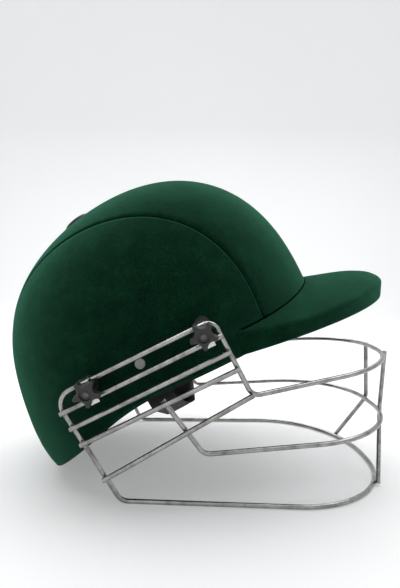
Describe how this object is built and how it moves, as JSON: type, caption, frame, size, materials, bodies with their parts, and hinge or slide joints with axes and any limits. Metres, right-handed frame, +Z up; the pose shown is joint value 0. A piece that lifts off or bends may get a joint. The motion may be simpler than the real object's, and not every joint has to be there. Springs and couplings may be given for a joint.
{
  "type": "cricket helmet",
  "caption": "Cloth-covered cricket helmet with peak, padded shell and chin strap, and a sliding steel wire grille held by star knobs",
  "frame": {"origin": "on the floor, midway along the helmet and on its middle plane", "axes": "+X towards the peak and grille front, +Y to the wearer's left, +Z up"},
  "size_m": [0.3379, 0.2424, 0.2588],
  "materials": {
    "felt": "short felt-like cloth",
    "binding": "woven binding",
    "shell": "moulded",
    "foam": "closed foam",
    "pad": "cloth over foam",
    "wire": "steel wire, satin",
    "knob": "moulded",
    "clip": "bent strip",
    "rivet": "satin",
    "stud": "matt",
    "screw": "satin",
    "webbing": "woven webbing",
    "slider": "moulded"
  },
  "bodies": {
    "helmet": {"shell": "shell", "crown_panel": "felt", "side_panel_left": "felt", "side_panel_right": "felt", "rim_binding": "binding", "foam_liner": "foam", "crown_pad": "pad", "brow_pad": "pad", "nape_pad": "pad", "temple_pad_left": "pad", "temple_pad_right": "pad", "peak_upper_cloth": "felt", "peak_core": "shell", "peak_under_cloth": "felt", "crown_button": "felt", "crown_button_stud": "stud", "crown_button_washer": "rivet", "strap_rivets": "rivet", "strap_collars": "rivet", "grille_washers": "screw", "grille_screws": "screw", "grille_spacers": "knob", "rear_clip_left": "clip", "rear_clip_right": "clip", "front_clip_left": "clip", "front_clip_right": "clip"},
    "grille": {"side_frame_left": "wire", "side_frame_right": "wire", "side_bar_2_left": "wire", "side_bar_2_right": "wire", "side_bar_3_left": "wire", "side_bar_3_right": "wire", "side_bar_4_left": "wire", "side_bar_4_right": "wire", "side_bar_5_left": "wire", "side_bar_5_right": "wire", "lower_ring": "wire", "middle_ring": "wire", "upper_ring": "wire", "front_upright_left": "wire", "front_upright_right": "wire"},
    "chin_strap": {"strap_left": "webbing", "strap_right": "webbing", "strap_slider": "slider", "chin_pad": "pad"},
    "rear_knob_left_body": {"rear_knob_left": "knob"},
    "rear_knob_right_body": {"rear_knob_right": "knob"},
    "front_knob_left_body": {"front_knob_left": "knob"},
    "front_knob_right_body": {"front_knob_right": "knob"}
  },
  "joints": [
    {"name": "grille_slide", "type": "slide", "parent": "helmet", "child": "grille", "axis": [0.8721, 0, 0.4894], "range_m": [-0.003, 0.006]},
    {"name": "strap_swing", "type": "hinge", "parent": "helmet", "child": "chin_strap", "pos_m": [-0.05, 0, 0.112], "axis": [0, 1, 0], "range_deg": [-15, 15]},
    {"name": "rear_knob_left_turn", "type": "hinge", "parent": "helmet", "child": "rear_knob_left_body", "pos_m": [-0.08557, 0.11017, 0.09323], "axis": [0, 0.9882, -0.1532], "continuous": true},
    {"name": "rear_knob_right_turn", "type": "hinge", "parent": "helmet", "child": "rear_knob_right_body", "pos_m": [-0.08557, -0.11017, 0.09323], "axis": [0, -0.9882, -0.1532], "continuous": true},
    {"name": "front_knob_left_turn", "type": "hinge", "parent": "helmet", "child": "front_knob_left_body", "pos_m": [-0.00595, 0.11701, 0.13738], "axis": [0, 0.9882, -0.1532], "continuous": true},
    {"name": "front_knob_right_turn", "type": "hinge", "parent": "helmet", "child": "front_knob_right_body", "pos_m": [-0.00595, -0.11701, 0.13738], "axis": [0, -0.9882, -0.1532], "continuous": true}
  ]
}
